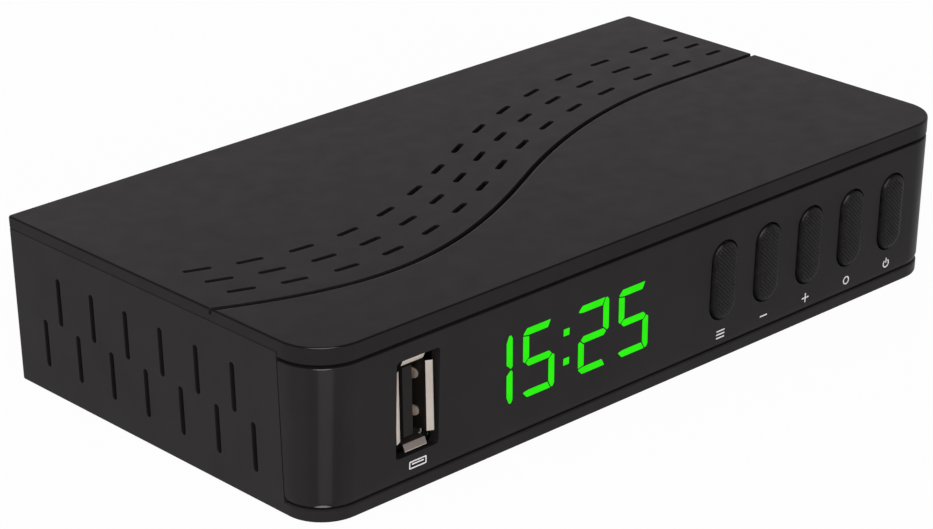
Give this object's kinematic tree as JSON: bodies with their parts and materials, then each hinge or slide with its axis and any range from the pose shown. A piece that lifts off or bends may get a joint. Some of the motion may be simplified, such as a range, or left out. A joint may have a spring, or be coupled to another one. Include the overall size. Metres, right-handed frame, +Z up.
{
  "type": "tv decoder box",
  "caption": "Flat plastic TV decoder with a slotted lid, upright USB-A socket, clock display, oblong push buttons and rear aerial, video and power sockets.",
  "frame": {"origin": "middle of the overall footprint, on the plane the feet stand on", "axes": "+Z up, front panel faces -Y, +X to the right seen from the front"},
  "size_m": [0.138, 0.0842, 0.029],
  "materials": {
    "case_plastic": "fine satin texture",
    "key_plastic": "fine hatched grain",
    "foot_rubber": "matte",
    "screw_steel": "zinc plated",
    "board_laminate": "green solder mask",
    "socket_steel": "tin plated",
    "black_plastic": "moulded",
    "chip_epoxy": "moulded epoxy",
    "plunger_plastic": "moulded",
    "display_plastic": "moulded",
    "display_light": "lit green",
    "ir_epoxy": "dark clear epoxy",
    "contact_brass": "gold flashed",
    "dielectric": "moulded",
    "sink_aluminium": "anodised",
    "capacitor_sleeve": "sleeved can"
  },
  "bodies": {
    "case": {"lid": "case_plastic", "base_tray": "case_plastic", "front_panel": "case_plastic", "rear_panel": "case_plastic", "rubber_feet": "foot_rubber", "case_screws": "screw_steel", "main_board": "board_laminate", "board_screws": "screw_steel", "front_board": "board_laminate", "front_board_screws": "screw_steel", "board_header": "black_plastic", "display_body": "display_plastic", "display_segments": "display_light", "ir_receiver": "ir_epoxy", "key_switches": "black_plastic", "usb_shell": "socket_steel", "usb_tongue": "black_plastic", "usb_contacts": "contact_brass", "tuner_can": "socket_steel", "aerial_in_shell": "socket_steel", "aerial_in_core": "dielectric", "aerial_out_shell": "socket_steel", "aerial_out_pin": "dielectric", "hdmi_shell": "socket_steel", "hdmi_tongue": "black_plastic", "av_jack": "black_plastic", "dc_jack": "black_plastic", "dc_pin": "contact_brass", "processor": "chip_epoxy", "heatsink": "sink_aluminium", "memory_chip": "chip_epoxy", "flash_chip": "chip_epoxy", "crystal": "socket_steel", "capacitors": "capacitor_sleeve", "choke": "chip_epoxy"},
    "menu_key": {"menu_button": "key_plastic", "menu_plunger": "plunger_plastic"},
    "channel_down_key": {"channel_down_button": "key_plastic", "channel_down_plunger": "plunger_plastic"},
    "channel_up_key": {"channel_up_button": "key_plastic", "channel_up_plunger": "plunger_plastic"},
    "ok_key": {"ok_button": "key_plastic", "ok_plunger": "plunger_plastic"},
    "power_key": {"power_button": "key_plastic", "power_plunger": "plunger_plastic"}
  },
  "joints": [
    {"name": "menu_press", "type": "slide", "parent": "case", "child": "menu_key", "axis": [0, 0.9988, 0.0499], "range_m": [0, 0.0005], "stiffness_N_per_m": 1000, "springref_m": -0.001},
    {"name": "channel_down_press", "type": "slide", "parent": "case", "child": "channel_down_key", "axis": [0, 0.9988, 0.0499], "range_m": [0, 0.0005], "stiffness_N_per_m": 1000, "springref_m": -0.001},
    {"name": "channel_up_press", "type": "slide", "parent": "case", "child": "channel_up_key", "axis": [0, 0.9988, 0.0499], "range_m": [0, 0.0005], "stiffness_N_per_m": 1000, "springref_m": -0.001},
    {"name": "ok_press", "type": "slide", "parent": "case", "child": "ok_key", "axis": [0, 0.9988, 0.0499], "range_m": [0, 0.0005], "stiffness_N_per_m": 1000, "springref_m": -0.001},
    {"name": "power_press", "type": "slide", "parent": "case", "child": "power_key", "axis": [0, 0.9988, 0.0499], "range_m": [0, 0.0005], "stiffness_N_per_m": 1000, "springref_m": -0.001}
  ]
}
